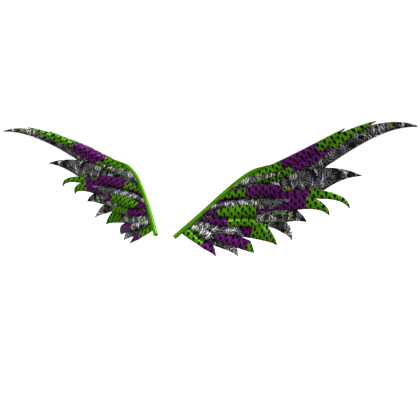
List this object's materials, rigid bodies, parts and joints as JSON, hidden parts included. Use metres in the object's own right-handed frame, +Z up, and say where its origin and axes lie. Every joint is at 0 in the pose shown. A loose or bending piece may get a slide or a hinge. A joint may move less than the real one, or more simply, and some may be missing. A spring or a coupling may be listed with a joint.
{
  "type": "costume wings",
  "caption": "Costume wings of layered, pointed plastic feathers in spotted and tangled prints that fan out from bent green spars rising from the wearer's back.",
  "frame": {"origin": "midway between the flat root ends of the two spars, where the wings meet the wearer's back", "axes": "+Z up; +X to the wearer's left, along the span; -Y the way the wearer faces, so the wrists of the wings lie at +Y"},
  "size_m": [1.2004, 0.1842, 0.3857],
  "materials": {
    "spar_plastic": "satin",
    "green_spot_plastic": "satin",
    "purple_spot_plastic": "satin",
    "tangle_plastic": "satin"
  },
  "bodies": {
    "root": {"left_spar": "spar_plastic", "left_primary_1": "green_spot_plastic", "left_primary_2": "green_spot_plastic", "left_primary_3": "tangle_plastic", "left_primary_4": "tangle_plastic", "left_secondary_1": "purple_spot_plastic", "left_secondary_2": "purple_spot_plastic", "left_secondary_3": "tangle_plastic", "left_secondary_4": "tangle_plastic", "left_secondary_5": "green_spot_plastic", "left_secondary_6": "purple_spot_plastic", "left_secondary_7": "tangle_plastic", "left_secondary_8": "green_spot_plastic", "left_covert_1": "tangle_plastic", "left_covert_2": "purple_spot_plastic", "left_covert_3": "tangle_plastic", "left_covert_4": "green_spot_plastic", "left_covert_5": "green_spot_plastic", "left_covert_6": "tangle_plastic", "left_covert_7": "tangle_plastic", "right_spar": "spar_plastic", "right_primary_1": "green_spot_plastic", "right_primary_2": "green_spot_plastic", "right_primary_3": "tangle_plastic", "right_primary_4": "tangle_plastic", "right_secondary_1": "purple_spot_plastic", "right_secondary_2": "purple_spot_plastic", "right_secondary_3": "tangle_plastic", "right_secondary_4": "tangle_plastic", "right_secondary_5": "green_spot_plastic", "right_secondary_6": "purple_spot_plastic", "right_secondary_7": "tangle_plastic", "right_secondary_8": "green_spot_plastic", "right_covert_1": "tangle_plastic", "right_covert_2": "purple_spot_plastic", "right_covert_3": "tangle_plastic", "right_covert_4": "green_spot_plastic", "right_covert_5": "green_spot_plastic", "right_covert_6": "tangle_plastic", "right_covert_7": "tangle_plastic"}
  },
  "joints": []
}
